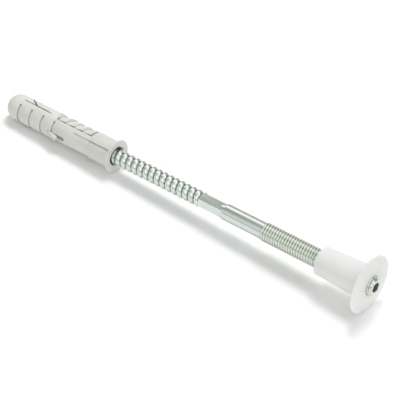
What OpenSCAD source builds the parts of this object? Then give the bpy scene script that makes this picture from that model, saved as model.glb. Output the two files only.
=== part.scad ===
// Screw-in wall fixing: split nylon plug, steel hanger bolt and flanged plastic sleeve nut.
// The common axis lies along +X, out of the wall. The origin is on the axis at the wall face.
// Each module works on its own axis first: there x is across, y is up and z runs out of the wall.

/* [Wall plug] */
// Diameter of the plain neck, equal to the drilled hole
plug_d = 12; // [11:0.25:14]
// Length below the wall face
plug_len = 59.5; // [56:0.5:80]
// Length of the plain neck below the wall face
neck_len = 11.2; // [8:0.1:12]
// Bore at the mouth
mouth_d = 8.2; // [7.8:0.1:8.8]
// Diameter of the rim
rim_d = 14.5; // [14:0.5:20]
// Thickness of the rim's edge, in front of the wall face
rim_t = 0.6; // [0.5:0.1:2]
// Width of the slit between the two expansion legs
slit_w = 0.6; // [0.4:0.05:0.8]
// Thickness of the nose beyond the bore
nose_wall = 5.3; // [4:0.1:7]
// Width of the groove along the neck
groove_w = 0.7; // [0.4:0.1:1]
// Depth of the groove along the neck
groove_depth = 0.45; // [0.25:0.05:0.6]
// Length of the groove, from just below the rim
groove_len = 19; // [10:0.5:20]

/* [Expansion legs] */
// How much smaller in radius the legs are than the neck
leg_relief = 0.2; // [0.16:0.02:0.3]
// Diameter of the ringed tip
tip_d = 11.5; // [10.8:0.1:11.6]
// How far each leg opens when the bolt is fully in, in degrees
spread = 1.6; // [1:0.1:2]
// Number of saw teeth on each leg
tooth_count = 4; // [3:1:5]
// Pitch of the saw teeth
tooth_pitch = 4.65; // [4.2:0.05:5.2]
// Depth of the saw teeth
tooth_depth = 1.1; // [0.4:0.1:1.2]
// Angle that the toothed sector covers, in degrees
tooth_sector = 80; // [60:5:85]
// Number of ring grooves on the tip
ring_count = 4; // [3:1:4]
// Pitch of the ring grooves
ring_pitch = 6.45; // [6:0.05:7]
// Width of a ring groove
ring_w = 0.9; // [0.4:0.1:1.2]
// Depth of a ring groove
ring_depth = 0.7; // [0.3:0.1:0.8]
// Angle that the ring grooves cover on each leg, in degrees
ring_sector = 120; // [100:5:140]

/* [Locking tongues] */
// Length of a tongue
tongue_len = 6.25; // [5:0.25:6.5]
// Width of a tongue
tongue_w = 1.6; // [1.2:0.1:4]
// How far a tongue stands out at rest, in degrees
tongue_lift = 20; // [8:1:22]
// Length of the pocket beyond the tongue's free end
pocket_extra = 3; // [1:0.25:4]

/* [Hanger bolt] */
// Overall length
bolt_len = 140; // [120:1:180]
// Depth of the point below the wall face before driving
start_depth = 8.2; // [4:0.2:11]
// Diameter over the wood thread
wood_d = 7; // [6.4:0.1:7.2]
// Length of the wood thread with its point
wood_len = 54.7; // [48:0.1:60]
// Length of the point
point_len = 7; // [5:0.5:9]
// Across flats of the hex grip between wood thread and shank
hex_af = 6; // [5:0.1:6]
// Length of the hex grip
hex_len = 9.5; // [6:0.1:14]
// Length of the cone from the hex grip to the shank
cone_len = 2.9; // [1:0.1:5]
// Diameter of the plain shank
shank_d = 7.1; // [6.8:0.1:7.4]
// Length of the plain shank
shank_len = 18.9; // [8:0.1:24]
// Diameter over the machine thread
thread_d = 8; // [7.6:0.1:8.2]
// Chamfer at the bolt's end
end_chamfer = 0.9; // [0.4:0.1:1.2]
// Across flats of the hex socket
socket_af = 4; // [3:0.5:5]
// Depth of the hex socket
socket_depth = 5; // [3:0.5:8]

/* [Sleeve nut] */
// Length from the back to the front of the flange's edge
nut_len = 23.1; // [20:0.1:30]
// Diameter at the back
nut_back_d = 12; // [11:0.1:13]
// Diameter where the sleeve meets the flange
nut_root_d = 13.9; // [12.5:0.1:15]
// Diameter of the flange
flange_d = 25; // [22:0.5:30]
// Thickness of the flange's edge
flange_t = 1; // [0.8:0.1:2.5]
// Height of the flange's domed face
dome_h = 0.9; // [0.5:0.1:1.2]
// Radius between sleeve and flange
nut_fillet = 3; // [1:0.1:3.5]
// How far the bolt's end stands in front of the flange's edge
bolt_proud = 2.6; // [1.2:0.1:4]

/* [Hidden] */
$fn = 64;

// Colours as seen
nylon_grey = [0.78, 0.78, 0.76];
zinc = [0.74, 0.79, 0.78];
white_plastic = [0.92, 0.92, 0.91];

// Clearances
hinge_gap = 0.06;
bead_clear = 0.03;
bead_end_clear = 0.1;
leg_bore_clear = 0.3;
tongue_side_clear = 0.15;
tongue_floor_clear = 0.15;
tongue_flush = 0.05;
thread_clear = 0.05;
reach = 4 * plug_d;

// Stations of the bolt along the axis
point_z = -start_depth;
wood_end_z = point_z + wood_len;
hex_end_z = wood_end_z + hex_len;
cone_end_z = hex_end_z + cone_len;
thread_z = cone_end_z + shank_len;
bolt_end_z = point_z + bolt_len;
point_r = 0.5;
runout = 0.8;
hex_turn = 19;
hex_core_inset = 0.2;

// Plug radii
plug_r = plug_d / 2;
leg_r = plug_r - leg_relief;
tip_r = tip_d / 2;
mouth_r = mouth_d / 2;
rim_r = rim_d / 2;
rim_edge = 0.25;
mouth_lead = 0.4;
leg_bore_r = wood_d / 2 + leg_bore_clear;
groove_turn = 40;
groove_start = 0.7;

// Stations of the plug along the axis
root_z = -neck_len;
tooth_end_gap = 1.4;
tooth_end_cut = 0.4;
first_ring_z = root_z - tooth_end_gap - tooth_count * tooth_pitch;
jog_z = first_ring_z - 2 * ring_pitch;
bore_end_z = -plug_len + nose_wall;
nose_z = -plug_len + tip_r;

// The slit turns by these angles from the upright plane: towards the near side along the teeth and
// a little along the rings, towards the far side at the nose, with a slanting jog before the nose.
tooth_turn = 15;
ring_turn = 3;
nose_turn = -52;
jog_rise = 1.56;
jog_gap = slit_w * sqrt(1 + jog_rise * jog_rise);

// Living hinge of a leg: a round bead of the leg in a round seat of the neck
bead_r = 0.55;
bead_inset = 1.1;
hinge_x = plug_r - bead_inset;
bead_len = 2 * sqrt(leg_r * leg_r - pow(hinge_x + bead_r, 2)) - 2 * bead_end_clear;

// Living hinge of a tongue
tongue_r = leg_r - tongue_flush;
tongue_bead_r = 0.6;
tongue_hinge_x = tongue_r - tongue_bead_r - tongue_flush;
tongue_setback = 2.2;
tongue_hinge_z = first_ring_z - tongue_setback;
tongue_floor_x = tongue_hinge_x - tongue_bead_r;
tongue_swell = 0.3;

// Shallow line that carries the slit's direction on to the nose
tip_line_w = 0.5;
tip_line_depth = 0.35;

// Flat beside the slit, which deepens from the second ring to the first, with a core hole near its end
flat_wall = 0.45;
flat_floor = leg_bore_r + flat_wall;
core_hole_r = 0.45;
core_hole_x = 2.9;
core_hole_setback = 0.9;

// Stations of the nut along the axis
flange_front_z = bolt_end_z - bolt_proud;
flange_back_z = flange_front_z - flange_t;
nut_back_z = flange_front_z - nut_len;
nut_bore_r = thread_d / 2 + thread_clear;
nut_edge = 0.35;
nut_lead = 0.6;
flange_r = flange_d / 2;
flange_edge_r = flange_t / 2;
dome_edge_r = flange_r - flange_edge_r;
dome_r = (dome_edge_r * dome_edge_r + dome_h * dome_h) / (2 * dome_h);
dome_steps = 720;

module along_axis() {
    rotate([90, 0, 90]) children();
}

// Turns a shape about an upright line across the axis
module turned(angle, x, z) {
    translate([x, 0, z]) rotate([0, angle, 0]) translate([-x, 0, -z]) children();
}

// The near side's half of a cross-section, back from the slit's middle by half its width
module near_half(turn) {
    rotate(turn) translate([-reach, -reach]) square([reach - slit_w / 2, 2 * reach]);
}

module slab(z0, z1) {
    translate([0, 0, z0]) linear_extrude(z1 - z0) children();
}

// A side view, drawn in x and z, given a width that is centred on the axis
module widened(w) {
    translate([0, w / 2, 0]) rotate([90, 0, 0]) linear_extrude(w) children();
}

// A cut across the axis that slants with x, filled down to the nose
module below_slant(z, rise) {
    widened(2 * reach)
        polygon([[-reach, z - rise * reach], [reach, z + rise * reach],
                 [reach, -2 * plug_len - reach], [-reach, -2 * plug_len - reach]]);
}

// The space of the near leg: half of the plug, with the slit's turns and jog
module near_leg_space() {
    top = root_z - hinge_gap;
    slab(first_ring_z + slit_w / 2, top) near_half(tooth_turn);
    slab(first_ring_z - slit_w, top) intersection() {
        near_half(tooth_turn);
        near_half(ring_turn);
    }
    slab(-plug_len - reach, first_ring_z - slit_w / 2) intersection() {
        near_half(ring_turn);
        near_half(nose_turn);
    }
    difference() {
        slab(-plug_len, first_ring_z - slit_w / 2) near_half(ring_turn);
        below_slant(jog_z + jog_gap / 2, jog_rise);
    }
    intersection() {
        slab(-plug_len - reach, first_ring_z - slit_w / 2) near_half(nose_turn);
        below_slant(jog_z - jog_gap / 2, -jog_rise);
    }
}

// Outside of both legs: teeth zone, ringed tip and round nose
module leg_outside() {
    intersection() {
        union() {
            translate([0, 0, first_ring_z]) cylinder(r = leg_r, h = root_z - hinge_gap - first_ring_z);
            translate([0, 0, -plug_len]) cylinder(r = tip_r, h = plug_len + first_ring_z + tooth_pitch);
        }
        union() {
            translate([0, 0, nose_z]) sphere(r = tip_r);
            translate([0, 0, nose_z]) cylinder(r = plug_r, h = plug_len);
        }
    }
}

// A ring of the given section that runs over part of the turn, from an angle past the top
module sector_ring(start, sweep) {
    rotate(90 + start) rotate_extrude(angle = sweep) children();
}

module ring_grooves() {
    for (i = [0 : ring_count - 1])
        sector_ring(90 - ring_sector / 2, ring_sector)
            translate([tip_r - ring_depth, first_ring_z - i * ring_pitch - ring_w / 2])
                square([plug_r, ring_w]);
}

// Saw teeth with their steep sides towards the mouth, and a deep groove before the first one
module tooth_cuts() {
    sector_ring(180 + tooth_turn - tooth_sector, tooth_sector + 2 * tooth_turn) {
        for (i = [0 : tooth_count - 1]) {
            crest_z = root_z - tooth_end_gap - i * tooth_pitch;
            polygon([[leg_r, crest_z], [leg_r - tooth_depth, crest_z - tooth_pitch],
                     [plug_d, crest_z - tooth_pitch], [plug_d, crest_z]]);
        }
        translate([leg_r - tooth_depth - tooth_end_cut, root_z - tooth_end_gap])
            square([plug_d, tooth_end_gap]);
    }
}

// Upright bead of a living hinge
module bead(r, len, x, z) {
    translate([x, len / 2, z]) rotate([90, 0, 0]) cylinder(r = r, h = len);
}

// Side view of a folded tongue, which swells towards its free end, drawn out by more and grown inwards
module tongue_view(clear, more) {
    end_z = tongue_hinge_z + tongue_len;
    floor_x = tongue_floor_x - clear;
    polygon([[-reach, tongue_hinge_z], [-floor_x, tongue_hinge_z], [-floor_x + tongue_swell, end_z],
             [-floor_x + tongue_swell, end_z + more], [-reach, end_z + more]]);
}

module tongue_pocket() {
    w = tongue_w + 2 * tongue_side_clear;
    widened(w) tongue_view(tongue_floor_clear, pocket_extra);
    bead(tongue_bead_r + bead_clear, w, -tongue_hinge_x, tongue_hinge_z);
}

// Groove along the neck and the start of a leg, past the top towards the near side
module neck_groove() {
    rotate(groove_turn) translate([-groove_w / 2, plug_r - groove_depth, -groove_start - groove_len])
        cube([groove_w, plug_d, groove_len]);
}

module tip_line() {
    last_ring_z = first_ring_z - (ring_count - 1) * ring_pitch;
    rotate(ring_turn) translate([-tip_line_w / 2, tip_r - tip_line_depth, last_ring_z])
        cube([tip_line_w, plug_d, jog_z - last_ring_z]);
}

module edge_flat() {
    start_z = first_ring_z - ring_pitch;
    end_z = first_ring_z - ring_w / 2;
    translate([-reach, 0, 0]) along_axis() linear_extrude(2 * reach)
        polygon([[-tip_r, start_z], [-flat_floor, end_z], [-reach, end_z], [-reach, start_z]]);
    translate([-core_hole_x, 0, end_z - core_hole_setback])
        rotate([90, 0, 0]) cylinder(r = core_hole_r, h = plug_d);
}

module near_leg() {
    difference() {
        union() {
            intersection() {
                leg_outside();
                near_leg_space();
            }
            bead(bead_r, bead_len, -hinge_x, root_z);
        }
        turned(-spread, -hinge_x, root_z)
            translate([0, 0, bore_end_z]) cylinder(r = leg_bore_r, h = root_z + reach - bore_end_z);
        ring_grooves();
        tooth_cuts();
        tongue_pocket();
        neck_groove();
        tip_line();
        edge_flat();
    }
}

// A tongue lies flush in its pocket when folded, and is lifted from there to its rest
module near_tongue() {
    turned(-tongue_lift, -tongue_hinge_x, tongue_hinge_z)
        intersection() {
            translate([0, 0, tongue_hinge_z - tongue_len]) cylinder(r = tongue_r, h = 3 * tongue_len);
            union() {
                widened(tongue_w) tongue_view(0, 0);
                bead(tongue_bead_r, tongue_w, -tongue_hinge_x, tongue_hinge_z);
            }
        }
}

module plug_sleeve() {
    color(nylon_grey) along_axis() difference() {
        rotate_extrude() polygon([[mouth_r, root_z], [plug_r, root_z], [plug_r, 0],
            [rim_r - rim_edge, 0], [rim_r, rim_edge], [rim_r, rim_t - rim_edge], [rim_r - rim_edge, rim_t],
            [mouth_r + mouth_lead, rim_t], [mouth_r, rim_t - mouth_lead]]);
        for (half = [0, 180])
            rotate(half) {
                bead(bead_r + bead_clear, bead_len + 2 * bead_end_clear, -hinge_x, root_z);
                neck_groove();
            }
    }
}

module expansion_leg_near() {
    color(nylon_grey) along_axis() near_leg();
}

module expansion_leg_far() {
    color(nylon_grey) along_axis() rotate(180) near_leg();
}

module locking_tongue_near() {
    color(nylon_grey) along_axis() near_tongue();
}

module locking_tongue_far() {
    color(nylon_grey) along_axis() rotate(180) near_tongue();
}

module hex_prism(across_flats, h) {
    cylinder(r = across_flats / 2 / cos(30), h = h, $fn = 6);
}

module hanger_bolt() {
    core_r = hex_af / 2 - hex_core_inset;
    color(zinc) along_axis() difference() {
        union() {
            rotate_extrude() polygon([[0, point_z], [point_r, point_z], [wood_d / 2, point_z + point_len],
                [wood_d / 2, wood_end_z], [core_r, wood_end_z + wood_d / 2 - core_r],
                [core_r, hex_end_z], [shank_d / 2, cone_end_z], [shank_d / 2, thread_z],
                [thread_d / 2, thread_z + runout], [thread_d / 2, bolt_end_z - end_chamfer],
                [thread_d / 2 - end_chamfer, bolt_end_z], [0, bolt_end_z]]);
            translate([0, 0, wood_end_z]) rotate(hex_turn) hex_prism(hex_af, hex_len + cone_len);
        }
        translate([0, 0, bolt_end_z - socket_depth]) hex_prism(socket_af, 2 * socket_depth);
    }
}

module flange_nut() {
    root_r = nut_root_d / 2;
    color(white_plastic) along_axis() rotate_extrude() {
        difference() {
            polygon([[nut_bore_r, nut_back_z + nut_lead], [nut_bore_r + nut_lead, nut_back_z],
                [nut_back_d / 2 - nut_edge, nut_back_z], [nut_back_d / 2, nut_back_z + nut_edge],
                [root_r, flange_back_z - nut_fillet], [root_r + nut_fillet, flange_back_z - nut_fillet],
                [root_r + nut_fillet, flange_back_z], [dome_edge_r, flange_back_z],
                [dome_edge_r, flange_front_z], [nut_bore_r, flange_front_z]]);
            translate([root_r + nut_fillet, flange_back_z - nut_fillet]) circle(r = nut_fillet);
        }
        translate([dome_edge_r, flange_front_z - flange_edge_r]) circle(r = flange_edge_r);
        intersection() {
            translate([nut_bore_r, flange_front_z - flange_edge_r])
                square([dome_edge_r - nut_bore_r, flange_edge_r + dome_h]);
            translate([0, flange_front_z + dome_h - dome_r]) circle(r = dome_r, $fn = dome_steps);
        }
    }
}

plug_sleeve();
expansion_leg_near();
expansion_leg_far();
locking_tongue_near();
locking_tongue_far();
hanger_bolt();
flange_nut();
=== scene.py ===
import math

import bpy
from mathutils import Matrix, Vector


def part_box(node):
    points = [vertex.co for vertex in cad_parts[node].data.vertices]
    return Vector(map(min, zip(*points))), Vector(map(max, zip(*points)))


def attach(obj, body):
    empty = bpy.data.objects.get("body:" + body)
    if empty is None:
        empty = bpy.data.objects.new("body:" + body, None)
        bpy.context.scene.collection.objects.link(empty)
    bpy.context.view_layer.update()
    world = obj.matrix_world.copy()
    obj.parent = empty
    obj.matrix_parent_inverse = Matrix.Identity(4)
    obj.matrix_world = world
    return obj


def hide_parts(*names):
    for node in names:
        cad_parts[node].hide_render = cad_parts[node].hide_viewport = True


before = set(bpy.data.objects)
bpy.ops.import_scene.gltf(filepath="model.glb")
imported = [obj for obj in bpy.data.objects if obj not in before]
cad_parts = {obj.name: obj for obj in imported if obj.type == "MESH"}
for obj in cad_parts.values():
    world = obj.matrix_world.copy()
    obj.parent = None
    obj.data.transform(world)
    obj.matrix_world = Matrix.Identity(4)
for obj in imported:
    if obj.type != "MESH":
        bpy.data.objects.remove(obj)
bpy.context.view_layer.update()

# Sizes in millimetres, along the common axis X from the wall face, as in the solids
MM = 0.001
TURN = 2 * math.pi
bolt_low, bolt_high = (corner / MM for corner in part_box("hanger_bolt"))
POINT_X = bolt_low.x
BOLT_END_X = bolt_high.x
THREAD_R = bolt_high.y
WOOD_LEN = 54.7
WOOD_R = 3.5
POINT_LEN = 7.0
POINT_R = 0.5
HEX_AF = 6.0
HEX_LEN = 9.5
CORE_R = 2.8
CONE_LEN = 2.9
SHANK_R = 3.55
SHANK_LEN = 18.9
END_CHAMFER = 0.9
SOCKET_AF = 4.0
SOCKET_DEPTH = 5.0
WOOD_END_X = POINT_X + WOOD_LEN
HEX_END_X = WOOD_END_X + HEX_LEN
CONE_END_X = HEX_END_X + CONE_LEN
THREAD_X = CONE_END_X + SHANK_LEN
SOCKET_FLOOR_X = BOLT_END_X - SOCKET_DEPTH

# The form of both threads and of the core that joins them
WOOD_ROOT_R = 2.6
WOOD_PITCH = 3.0
CORE_RISE = 0.5
THREAD_PITCH = 1.25
THREAD_DEPTH = 0.57
THREAD_ROOT_R = THREAD_R - THREAD_DEPTH
CREST_ROUND = 0.45
GROOVE_FLOOR = 0.1
RUNOUT = 1.2
# Degrees about the axis, two more than in the solid
HEX_TURN = 21.0

# Margins in millimetres: how far parts of the bolt run into each other, how far a tool stays clear of a
# surface, what keeps two faces out of one plane, how near a vertex lies in a plane, and how near two merge
OVERLAP = 1.0
CLEAR = 0.1
HAIR = 0.05
TOUCH = 0.01
WELD = 0.001
FINE_WELD = 0.0001


# Finishes

def linear(hex_colour):
    """An sRGB hex colour as linear RGBA."""
    channels = [int(hex_colour[i:i + 2], 16) / 255 for i in (0, 2, 4)]
    return [c / 12.92 if c <= 0.04045 else ((c + 0.055) / 1.055) ** 2.4 for c in channels] + [1.0]


def add(tree, kind, *inputs, settings=None, stops=(), **named):
    """Adds a node. Its inputs come in order or by name, each a value or another node's socket. Settings are
    properties, and stops are the places and hex colours of a ramp."""
    node = tree.nodes.new(kind)
    for name, value in (settings or {}).items():
        setattr(node, name, value)
    if stops:
        elements = node.color_ramp.elements
        elements.remove(elements[1])
        elements[0].position = stops[0][0]
        elements[0].color = linear(stops[0][1])
        for position, colour in stops[1:]:
            elements.new(position).color = linear(colour)
    filled = list(zip(node.inputs, inputs))
    filled += [(node.inputs[name.replace("_", " ")], value) for name, value in named.items()]
    for socket, value in filled:
        if isinstance(value, bpy.types.NodeSocket):
            tree.links.new(value, socket)
        else:
            socket.default_value = value
    return node


def new_material(name):
    """A material without nodes."""
    material = bpy.data.materials.new(name)
    material.use_nodes = True
    material.node_tree.nodes.clear()
    return material, material.node_tree


def zinc_plated_steel():
    """Bright zinc under a clear film: a cold grey on the wood thread and the shank, straw on the machine
    thread, painted shade down in the valleys of the wood thread, with a fine grain in its gloss."""
    wood_film, shank_film, thread_film = "D8E3DE", "D3DEDA", "D0D9CF"
    drift_mm, valley_mm, grain_mm = 6, 1.5, 0.35
    material, tree = new_material("zinc_plated_steel")
    place = add(tree, "ShaderNodeTexCoord").outputs["Object"]
    along = add(tree, "ShaderNodeSeparateXYZ", Vector=place).outputs["X"]
    share = add(tree, "ShaderNodeMapRange", Value=along, From_Min=POINT_X * MM, From_Max=BOLT_END_X * MM)
    films = ((POINT_X, wood_film), (WOOD_END_X - 1, wood_film), (WOOD_END_X + 1, shank_film),
             (THREAD_X - 2, shank_film), (THREAD_X + 4, thread_film), (BOLT_END_X, thread_film))
    film = add(tree, "ShaderNodeValToRGB", Fac=share.outputs["Result"],
               stops=[((x - POINT_X) / (BOLT_END_X - POINT_X), colour) for x, colour in films])
    drift = add(tree, "ShaderNodeTexNoise", Vector=place, Scale=1 / (drift_mm * MM), Detail=2.0)
    tint = add(tree, "ShaderNodeMixRGB", settings={"blend_type": "MULTIPLY"}, Fac=drift.outputs["Fac"],
               Color1=film.outputs["Color"], Color2=linear("F6F4EE"))
    # Painted shade: the zinc of the wood thread is darkened where it is closed in, in its valleys and
    # inside the plug
    closed_in = add(tree, "ShaderNodeAmbientOcclusion", Distance=valley_mm * MM)
    openness = add(tree, "ShaderNodeMapRange", Value=closed_in.outputs["AO"], From_Min=0.64, From_Max=0.85)
    # The deepest shade on the wood thread, and none from its end on
    deepest = add(tree, "ShaderNodeMapRange", Value=along, From_Min=(WOOD_END_X - 0.6) * MM,
                  From_Max=(WOOD_END_X - 0.1) * MM, To_Min=0.22, To_Max=1.0)
    valley_shade = add(tree, "ShaderNodeMapRange", Value=openness.outputs["Result"],
                 To_Min=deepest.outputs["Result"])
    valley_shaded_tint = add(tree, "ShaderNodeMixRGB", settings={"blend_type": "MULTIPLY"}, Fac=1.0,
                 Color1=tint.outputs["Color"], Color2=valley_shade.outputs["Result"])
    grain = add(tree, "ShaderNodeTexNoise", Vector=place, Scale=1 / (grain_mm * MM), Detail=3.0)
    gloss = add(tree, "ShaderNodeMapRange", Value=grain.outputs["Fac"], To_Min=0.08, To_Max=0.15)
    bump = add(tree, "ShaderNodeBump", Height=grain.outputs["Fac"], Strength=0.04, Distance=0.05 * MM)
    shader = add(tree, "ShaderNodeBsdfPrincipled", Base_Color=valley_shaded_tint.outputs["Color"], Metallic=1.0,
                 Roughness=gloss.outputs["Result"], Normal=bump.outputs["Normal"])
    add(tree, "ShaderNodeOutputMaterial", Surface=shader.outputs["BSDF"])
    return material


def socket_shade_grey():
    """Painted shade for the punched socket: a dull grey that is no metal, and a little
    rough."""
    material, tree = new_material("socket_painted_shade")
    shader = add(tree, "ShaderNodeBsdfPrincipled", Base_Color=linear("787C74"), Roughness=0.6)
    add(tree, "ShaderNodeOutputMaterial", Surface=shader.outputs["BSDF"])
    return material


def moulded_plastic(name, light, dark, crevice_shade, roughness, grit_mm, milky):
    """A moulded thermoplastic: an even colour with a faint cloud in it, painted shade down in slits and
    grooves and between parts, the fine grit of the mould, and milky depth that softens its shade."""
    cloud_mm, crevice_mm, milky_mm = 9, 1, 2
    material, tree = new_material(name)
    place = add(tree, "ShaderNodeTexCoord").outputs["Object"]
    cloud = add(tree, "ShaderNodeTexNoise", Vector=place, Scale=1 / (cloud_mm * MM), Detail=3.0)
    colour = add(tree, "ShaderNodeValToRGB", Fac=cloud.outputs["Fac"], stops=((0.3, dark), (0.7, light)))
    # Painted shade: the colour turns to the crevice shade colour where the surface is closed in
    closed_in = add(tree, "ShaderNodeAmbientOcclusion", Distance=crevice_mm * MM)
    openness = add(tree, "ShaderNodeMapRange", Value=closed_in.outputs["AO"], From_Min=0.15, From_Max=0.6)
    # The colour with painted shade in slits, grooves and between parts
    body = add(tree, "ShaderNodeMixRGB", Fac=openness.outputs["Result"], Color1=linear(crevice_shade),
               Color2=colour.outputs["Color"])
    grit = add(tree, "ShaderNodeTexNoise", Vector=place, Scale=1 / (grit_mm * MM), Detail=2.0)
    gloss = add(tree, "ShaderNodeMapRange", Value=grit.outputs["Fac"], To_Min=roughness - 0.06,
                To_Max=roughness + 0.06)
    bump = add(tree, "ShaderNodeBump", Height=grit.outputs["Fac"], Strength=0.15, Distance=0.05 * MM)
    shader = add(tree, "ShaderNodeBsdfPrincipled", Base_Color=body.outputs["Color"], IOR=1.53,
                 Roughness=gloss.outputs["Result"], Normal=bump.outputs["Normal"],
                 Subsurface_Weight=milky, Subsurface_Radius=(1, 1, 1), Subsurface_Scale=milky_mm * MM)
    add(tree, "ShaderNodeOutputMaterial", Surface=shader.outputs["BSDF"])
    return material


zinc = zinc_plated_steel()
# The dull grey of painted shade down in the socket
socket_shade_material = socket_shade_grey()
# The crevice colours are painted shade in slits, grooves and between parts
nylon = moulded_plastic("grey_moulded_nylon", light="E6E6E0", dark="DEDFD8", crevice_shade="64655C",
                        roughness=0.5, grit_mm=0.3, milky=0.0)
white = moulded_plastic("white_moulded_plastic", light="F1F1EF", dark="EDEDEB", crevice_shade="D0D0CE",
                        roughness=0.42, grit_mm=0.4, milky=0.35)


# Modelling by hand

def finished(piece, material):
    """Gives a piece its finish and leaves nothing selected."""
    piece.data.materials.clear()
    piece.data.materials.append(material)
    bpy.ops.object.select_all(action="DESELECT")


def edge_chain(name, points):
    """A chain of edges drawn from one vertex by extruding: points are (along the axis, radius) in mm."""
    bpy.ops.object.select_all(action="DESELECT")
    bpy.ops.mesh.primitive_plane_add(size=MM)
    piece = bpy.context.object
    piece.name = name
    piece.data.name = name
    bpy.ops.object.mode_set(mode="EDIT")
    bpy.ops.mesh.select_all(action="SELECT")
    bpy.ops.mesh.merge(type="CENTER")
    here = Vector((0, 0))
    for i, point in enumerate(points):
        step = (Vector(point) - here) * MM
        move = (step.x, 0, step.y)
        if i == 0:
            bpy.ops.transform.translate(value=move)
        else:
            bpy.ops.mesh.extrude_region_move(TRANSFORM_OT_translate={"value": move})
        here = Vector(point)
    bpy.ops.object.mode_set(mode="OBJECT")
    return piece


def close_up():
    """In edit mode: merges doubles and turns the faces outwards."""
    bpy.ops.mesh.select_all(action="SELECT")
    bpy.ops.mesh.remove_doubles(threshold=WELD * MM)
    bpy.ops.mesh.normals_make_consistent(inside=False)


def turned(name, points, steps=96):
    """A turned solid: an edge chain that starts and ends on the axis, spun about it."""
    piece = edge_chain(name, points)
    bpy.ops.object.mode_set(mode="EDIT")
    bpy.ops.mesh.select_all(action="SELECT")
    bpy.ops.mesh.spin(steps=steps, angle=TURN, center=(0, 0, 0), axis=(1, 0, 0))
    close_up()
    bpy.ops.object.mode_set(mode="OBJECT")
    return piece


def apply(piece, kind, **settings):
    """Adds a modifier with its settings and applies it."""
    modifier = piece.modifiers.new(kind.title(), kind)
    for name, value in settings.items():
        setattr(modifier, name, value)
    bpy.context.view_layer.objects.active = piece
    bpy.ops.object.modifier_apply(modifier=modifier.name)


def threaded(name, profile, pitch, low, high, steps):
    """A threaded rod from low to high: one pitch of its profile wound up as a helix, with square ends."""
    turns = math.ceil((high - low) / pitch) + 3
    # A little over one turn ahead of the end, so that no vertex lies in the plane of a cut
    start = low - 1.01 * pitch
    piece = edge_chain(name, [(start + along, radius) for along, radius in profile])
    apply(piece, "SCREW", axis="X", angle=TURN, screw_offset=pitch * MM, iterations=turns, steps=steps,
          render_steps=steps, use_merge_vertices=True, merge_threshold=FINE_WELD * MM,
          use_smooth_shade=False)
    bpy.ops.object.mode_set(mode="EDIT")
    for x, outwards in ((low, -1), (high, 1)):
        bpy.ops.mesh.select_all(action="SELECT")
        bpy.ops.mesh.bisect(plane_co=(x * MM, 0, 0), plane_no=(outwards, 0, 0), use_fill=True,
                            clear_outer=True, threshold=FINE_WELD * MM)
    close_up()
    bpy.ops.object.mode_set(mode="OBJECT")
    return piece


def smoothed(piece, sharp_from):
    """Shades a piece smooth, but keeps the edges that turn by more than an angle in degrees."""
    bpy.ops.object.select_all(action="DESELECT")
    piece.select_set(True)
    bpy.context.view_layer.objects.active = piece
    bpy.ops.object.shade_smooth_by_angle(angle=math.radians(sharp_from), keep_sharp_edges=True)


def combine(piece, tool, operation):
    """Adds a second solid to a piece, cuts it off or keeps what both share, and removes the second one."""
    apply(piece, "BOOLEAN", object=tool, operation=operation, solver="EXACT")
    bpy.data.objects.remove(tool)


def hex_prism(name, across_flats, low, high, turn):
    """A hexagonal bar from low to high, with a corner at an angle in degrees from +Y."""
    corner_r = across_flats / 2 / math.cos(TURN / 12)
    bar = turned(name, [(low, 0), (low, corner_r), (high, corner_r), (high, 0)], steps=6)
    # Spun from +Z in steps of 60 degrees, the bar has a corner 30 degrees from +Y
    bar.rotation_euler.x = math.radians(turn - 30)
    bar.select_set(True)
    bpy.ops.object.transform_apply(rotation=True)
    return bar


# Hanger bolt

def wood_thread():
    """Coarse thread with broad round ridges and narrow valleys, drawn out to the point."""
    samples = 16
    rise = WOOD_R - WOOD_ROOT_R
    profile = [(WOOD_PITCH * i / samples, WOOD_ROOT_R + rise * math.sin(math.pi * i / samples))
               for i in range(samples + 1)]
    piece = threaded("wood_thread", profile, WOOD_PITCH, POINT_X, WOOD_END_X, steps=64)
    bpy.ops.object.mode_set(mode="EDIT")
    bpy.ops.mesh.select_all(action="DESELECT")
    bpy.ops.object.mode_set(mode="OBJECT")
    for vertex in piece.data.vertices:
        vertex.select = vertex.co.x < (POINT_X + TOUCH) * MM
    bpy.ops.object.mode_set(mode="EDIT")
    thin = POINT_R / WOOD_R
    bpy.ops.transform.resize(value=(1, thin, thin), use_proportional_edit=True,
                             proportional_edit_falloff="LINEAR", proportional_size=POINT_LEN * MM,
                             center_override=(POINT_X * MM, 0, 0))
    bpy.ops.object.mode_set(mode="OBJECT")
    return piece


def machine_thread():
    """Fine rolled thread with round crests, which rises out of the shank, and the hex socket in its end."""
    profile = [(0, THREAD_ROOT_R), (GROOVE_FLOOR / 2, THREAD_ROOT_R)]
    for tilt in (-45, -22.5, 0, 22.5, 45):
        angle = math.radians(tilt)
        profile.append((THREAD_PITCH / 2 + CREST_ROUND * math.sin(angle),
                        THREAD_R - CREST_ROUND * (1 - math.cos(angle))))
    profile += [(THREAD_PITCH - GROOVE_FLOOR / 2, THREAD_ROOT_R), (THREAD_PITCH, THREAD_ROOT_R)]
    piece = threaded("machine_thread", profile, THREAD_PITCH, THREAD_X - OVERLAP, BOLT_END_X, steps=48)
    low = THREAD_X - 2 * OVERLAP
    high = BOLT_END_X + HAIR
    start_r = SHANK_R - CLEAR
    outside_r = THREAD_R + CLEAR
    blank = turned("thread_blank", [(low, 0), (low, start_r), (THREAD_X, start_r),
                                    (THREAD_X + RUNOUT, outside_r), (BOLT_END_X - END_CHAMFER, outside_r),
                                    (high, THREAD_R - END_CHAMFER), (high, 0)])
    combine(piece, blank, "INTERSECT")
    socket = hex_prism("hex_socket", SOCKET_AF, SOCKET_FLOOR_X, BOLT_END_X + SOCKET_DEPTH, turn=0)
    combine(piece, socket, "DIFFERENCE")
    return piece


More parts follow.
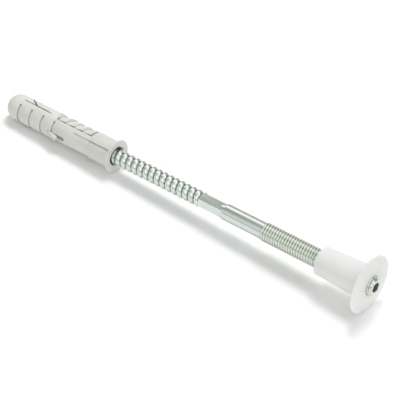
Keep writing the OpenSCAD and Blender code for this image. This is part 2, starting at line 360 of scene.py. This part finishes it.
def paint_shade_in_socket(bolt):
    """Paints the walls and the floor of the socket with the grey of painted shade."""
    bolt.data.materials.append(socket_shade_material)
    for face in bolt.data.polygons:
        x, y, z = face.center / MM
        inside = SOCKET_FLOOR_X - OVERLAP / 2 < x < BOLT_END_X - OVERLAP / 2
        if inside and math.hypot(y, z) < SOCKET_AF / 2 + CLEAR:
            face.material_index = 1


def hanger_bolt():
    """The whole bolt as one closed mesh."""
    low = WOOD_END_X - OVERLAP
    high = THREAD_X + RUNOUT
    bolt = turned("hanger_bolt_steel", [(low, 0), (low, WOOD_ROOT_R - HAIR),
                                        (WOOD_END_X + CORE_RISE, CORE_R), (HEX_END_X, CORE_R),
                                        (CONE_END_X, SHANK_R), (THREAD_X, SHANK_R),
                                        (high, THREAD_ROOT_R - HAIR), (high, 0)])
    grip = hex_prism("hex_grip", HEX_AF, WOOD_END_X - 2 * CLEAR, CONE_END_X, HEX_TURN)
    combine(bolt, grip, "UNION")
    smoothed(bolt, sharp_from=12)
    combine(bolt, wood_thread(), "UNION")
    combine(bolt, machine_thread(), "UNION")
    smoothed(bolt, sharp_from=40)
    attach(bolt, "bolt")
    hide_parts("hanger_bolt")
    finished(bolt, zinc)
    # The socket's walls and floor get painted shade
    paint_shade_in_socket(bolt)


def softened(piece, radius, material):
    """Rounds the moulded edges of a solid by a radius in mm and gives it its finish."""
    weld = piece.modifiers.new("Weld", "WELD")
    weld.merge_threshold = WELD * MM
    bevel = piece.modifiers.new("Soft edges", "BEVEL")
    bevel.width = radius * MM
    bevel.segments = 2
    bevel.limit_method = "ANGLE"
    bevel.angle_limit = math.radians(40)
    bevel.use_clamp_overlap = True
    finished(piece, material)


hanger_bolt()
for node in ("plug_sleeve", "expansion_leg_near", "expansion_leg_far",
             "locking_tongue_near", "locking_tongue_far"):
    softened(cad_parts[node], radius=0.12, material=nylon)
finished(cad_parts["flange_nut"], white)


# Floor

# The set lies on its flange and on the plug's tip, so the floor leans a little
FLANGE_EDGE = Vector((128.7, 0, -12.5))
PLUG_TIP = Vector((-53.75, 0, -5.75))
FLOOR_SIZE = 6000.0
SHADOW_REACH = 180.0


def white_floor_card():
    """Matt white card with a faint mist of grey. The camera and glossy surfaces see it a little whiter than
    it lights the set, and plain white well away from the set and its shadow."""
    mist_mm, whiter = 40, 1.1
    material, tree = new_material("white_floor_card")
    place = add(tree, "ShaderNodeTexCoord").outputs["Object"]
    mist = add(tree, "ShaderNodeTexNoise", Vector=place, Scale=1 / (mist_mm * MM))
    shade = add(tree, "ShaderNodeMapRange", Value=mist.outputs["Fac"], To_Min=0.95, To_Max=0.96)
    ray = add(tree, "ShaderNodeLightPath")
    seen = add(tree, "ShaderNodeMath", ray.outputs["Is Camera Ray"], ray.outputs["Is Glossy Ray"],
               settings={"operation": "MAXIMUM"}).outputs["Value"]
    paint = add(tree, "ShaderNodeMixRGB", Fac=seen, Color1=shade.outputs["Result"],
                Color2=(whiter, whiter, whiter, 1.0))
    card = add(tree, "ShaderNodeBsdfDiffuse", Color=paint.outputs["Color"])
    off_centre = add(tree, "ShaderNodeVectorMath", Vector=place, settings={"operation": "LENGTH"})
    far_off = add(tree, "ShaderNodeMapRange", Value=off_centre.outputs["Value"], To_Max=seen,
                  From_Min=SHADOW_REACH * MM, From_Max=2 * SHADOW_REACH * MM)
    blank = add(tree, "ShaderNodeEmission", Color=linear("FFFFFF"), Strength=1.0)
    ground = add(tree, "ShaderNodeMixShader", far_off.outputs["Result"], card.outputs["BSDF"],
                 blank.outputs["Emission"])
    add(tree, "ShaderNodeOutputMaterial", Surface=ground.outputs["Shader"])
    return material


floor_lean = math.atan2(PLUG_TIP.z - FLANGE_EDGE.z, FLANGE_EDGE.x - PLUG_TIP.x)
bpy.ops.mesh.primitive_plane_add(size=FLOOR_SIZE * MM, location=(FLANGE_EDGE + PLUG_TIP) / 2 * MM,
                                 rotation=(0, floor_lean, 0))
floor = bpy.context.object
floor.name = "floor"
floor.data.materials.append(white_floor_card())


# Light

def studio_room():
    """A room of greys for the zinc to mirror, which also lights the set softly from all round. The greys go
    round the bolt's axis, from the far horizon at 0 over the top to the near one at 1."""
    room_light, mirrored_light = 0.75, 1.4
    world = bpy.data.worlds.new("studio")
    world.use_nodes = True
    tree = world.node_tree
    tree.nodes.clear()
    direction = add(tree, "ShaderNodeTexCoord").outputs["Generated"]
    look = add(tree, "ShaderNodeSeparateXYZ", Vector=direction)
    round_axis = add(tree, "ShaderNodeMath", look.outputs["Z"], look.outputs["Y"],
                     settings={"operation": "ARCTAN2"})
    half_turn = add(tree, "ShaderNodeMapRange", Value=round_axis.outputs["Value"], From_Max=math.pi)
    # Over the middle of the set: a bright window and a dim strip of ceiling, which draw the light and the
    # dark line along the shank, then a pale wall with a thin dark edge above the near side of the floor
    around = add(tree, "ShaderNodeValToRGB", Fac=half_turn.outputs["Result"],
                 stops=((0, "B0B0B0"), (0.22, "B0B0B0"), (0.27, "FFFFFF"), (0.38, "FFFFFF"),
                        (0.51, "989898"), (0.6, "989898"), (0.72, "BEBEBE"), (0.87, "D7D7D7"),
                        (0.91, "BABABA"), (0.95, "BABABA"), (1, "C8C8C8")))
    # Beyond the flange, where the flanks of the threads look: bright, but dim to the far side and low on
    # the near one. These greys are only mirrored, and what lights the set from there is plain white
    beyond = add(tree, "ShaderNodeValToRGB", Fac=half_turn.outputs["Result"],
                 stops=((0, "A4A4A4"), (0.22, "A4A4A4"), (0.28, "FFFFFF"), (0.36, "FFFFFF"),
                        (0.5, "E0E0E0"), (0.62, "E0E0E0"), (0.7, "FFFFFF"), (0.8, "FFFFFF"),
                        (0.88, "C8C8C8"), (1, "C8C8C8")))
    ray = add(tree, "ShaderNodeLightPath")
    mirrored = ray.outputs["Is Glossy Ray"]
    end = add(tree, "ShaderNodeMixRGB", Fac=mirrored, Color1=linear("FFFFFF"),
              Color2=beyond.outputs["Color"])
    ahead = add(tree, "ShaderNodeMapRange", Value=look.outputs["X"], From_Min=-0.45, From_Max=0.3)
    room = add(tree, "ShaderNodeMixRGB", Fac=ahead.outputs["Result"], Color1=around.outputs["Color"],
               Color2=end.outputs["Color"])
    level = add(tree, "ShaderNodeMapRange", Value=mirrored, To_Min=room_light, To_Max=mirrored_light)
    air = add(tree, "ShaderNodeBackground", Color=room.outputs["Color"], Strength=level.outputs["Result"])
    # The camera sees plain white behind the set
    paper = add(tree, "ShaderNodeBackground", Color=linear("FFFFFF"), Strength=1.0)
    sight = add(tree, "ShaderNodeMixShader", ray.outputs["Is Camera Ray"], air.outputs["Background"],
                paper.outputs["Background"])
    add(tree, "ShaderNodeOutputWorld", Surface=sight.outputs["Shader"])
    return world


def soft_box(name, target, direction, distance, size, power):
    """A square lamp that faces a point of the set and isn't mirrored in it. Lengths are in mm."""
    data = bpy.data.lights.new(name, "AREA")
    data.shape = "SQUARE"
    data.size = size * MM
    data.energy = power
    box = bpy.data.objects.new(name, data)
    bpy.context.scene.collection.objects.link(box)
    box.location = (target + Vector(direction).normalized() * distance) * MM
    box.rotation_euler = (target * MM - box.location).to_track_quat("-Z", "Y").to_euler()
    box.visible_glossy = False


MIDDLE = Vector((45.0, 0, -0.8))
NUT = Vector((118.0, 0, 0))
bpy.context.scene.world = studio_room()
soft_box("key_soft_box", MIDDLE, direction=(-0.1, 0.39, 0.91), distance=900, size=300, power=3.4)
soft_box("fill_soft_box", NUT, direction=(0.45, -0.85, 0.28), distance=350, size=250, power=0.13)


# Camera

CAMERA_AZIMUTH = math.radians(38.77)
CAMERA_ELEVATION = math.radians(39.27)
CAMERA_DISTANCE = 813.0
LENS = 180.0
SENSOR = 36.0
CLIP_END = 20000.0
camera = bpy.data.objects.new("camera", bpy.data.cameras.new("camera"))
bpy.context.scene.collection.objects.link(camera)
camera.data.lens = LENS
camera.data.sensor_width = SENSOR
camera.data.clip_end = CLIP_END * MM
back = Vector((math.sin(CAMERA_AZIMUTH) * math.cos(CAMERA_ELEVATION),
               -math.cos(CAMERA_AZIMUTH) * math.cos(CAMERA_ELEVATION), math.sin(CAMERA_ELEVATION)))
camera.location = (MIDDLE + back * CAMERA_DISTANCE) * MM
camera.rotation_euler = (-back).to_track_quat("-Z", "Y").to_euler()
bpy.context.scene.camera = camera
bpy.context.scene.view_settings.view_transform = "Standard"
